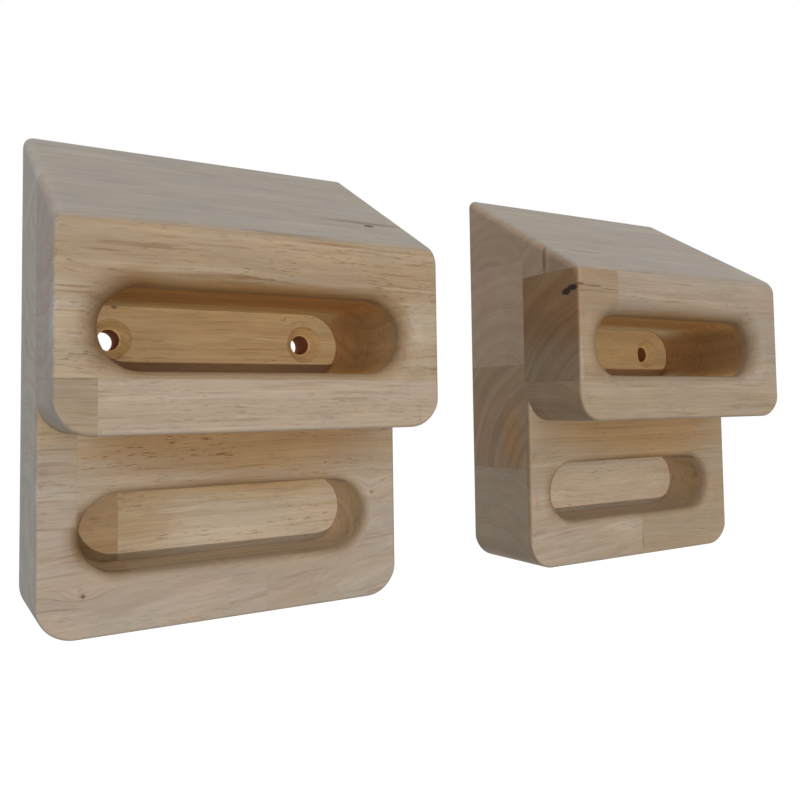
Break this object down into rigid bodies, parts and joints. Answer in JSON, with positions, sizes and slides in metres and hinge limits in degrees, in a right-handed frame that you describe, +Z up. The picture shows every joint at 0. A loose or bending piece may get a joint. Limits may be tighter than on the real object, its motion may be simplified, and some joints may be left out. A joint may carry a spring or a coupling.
{
  "type": "hangboard",
  "caption": "Wall-mounted wooden hangboard in two blocks, each with a sloping top, a stepped front and round-ended finger pockets.",
  "frame": {"origin": "on the wall, midway between the two blocks and level with their screw holes", "axes": "+X along the wall to the right as seen from the front, +Y into the wall, +Z up"},
  "size_m": [0.38, 0.087, 0.1995],
  "materials": {
    "pale_rubberwood": "planed and sanded, unlacquered",
    "tan_rubberwood": "planed and sanded, unlacquered",
    "golden_rubberwood": "planed and sanded, unlacquered",
    "brown_rubberwood": "planed and sanded, unlacquered",
    "grey_rubberwood": "planed and sanded, unlacquered"
  },
  "bodies": {
    "root": {"left_back_foot_stave_end": "golden_rubberwood", "left_back_foot_stave": "pale_rubberwood", "left_back_middle_stave": "tan_rubberwood", "left_back_pocket_stave": "golden_rubberwood", "left_back_ridge_stave": "grey_rubberwood", "left_front_foot_stave_end": "pale_rubberwood", "left_front_foot_stave": "pale_rubberwood", "left_front_middle_stave_end": "tan_rubberwood", "left_front_middle_stave": "pale_rubberwood", "left_front_pocket_stave": "tan_rubberwood", "left_front_nose_stave": "grey_rubberwood", "right_back_foot_stave": "grey_rubberwood", "right_back_middle_stave": "tan_rubberwood", "right_back_pocket_stave": "pale_rubberwood", "right_back_ridge_stave": "grey_rubberwood", "right_front_foot_stave_end": "pale_rubberwood", "right_front_foot_stave": "tan_rubberwood", "right_front_middle_stave": "pale_rubberwood", "right_front_pocket_stave_end": "brown_rubberwood", "right_front_pocket_stave": "pale_rubberwood", "right_front_nose_inner_stave": "grey_rubberwood", "right_front_nose_stave": "grey_rubberwood"}
  },
  "joints": []
}
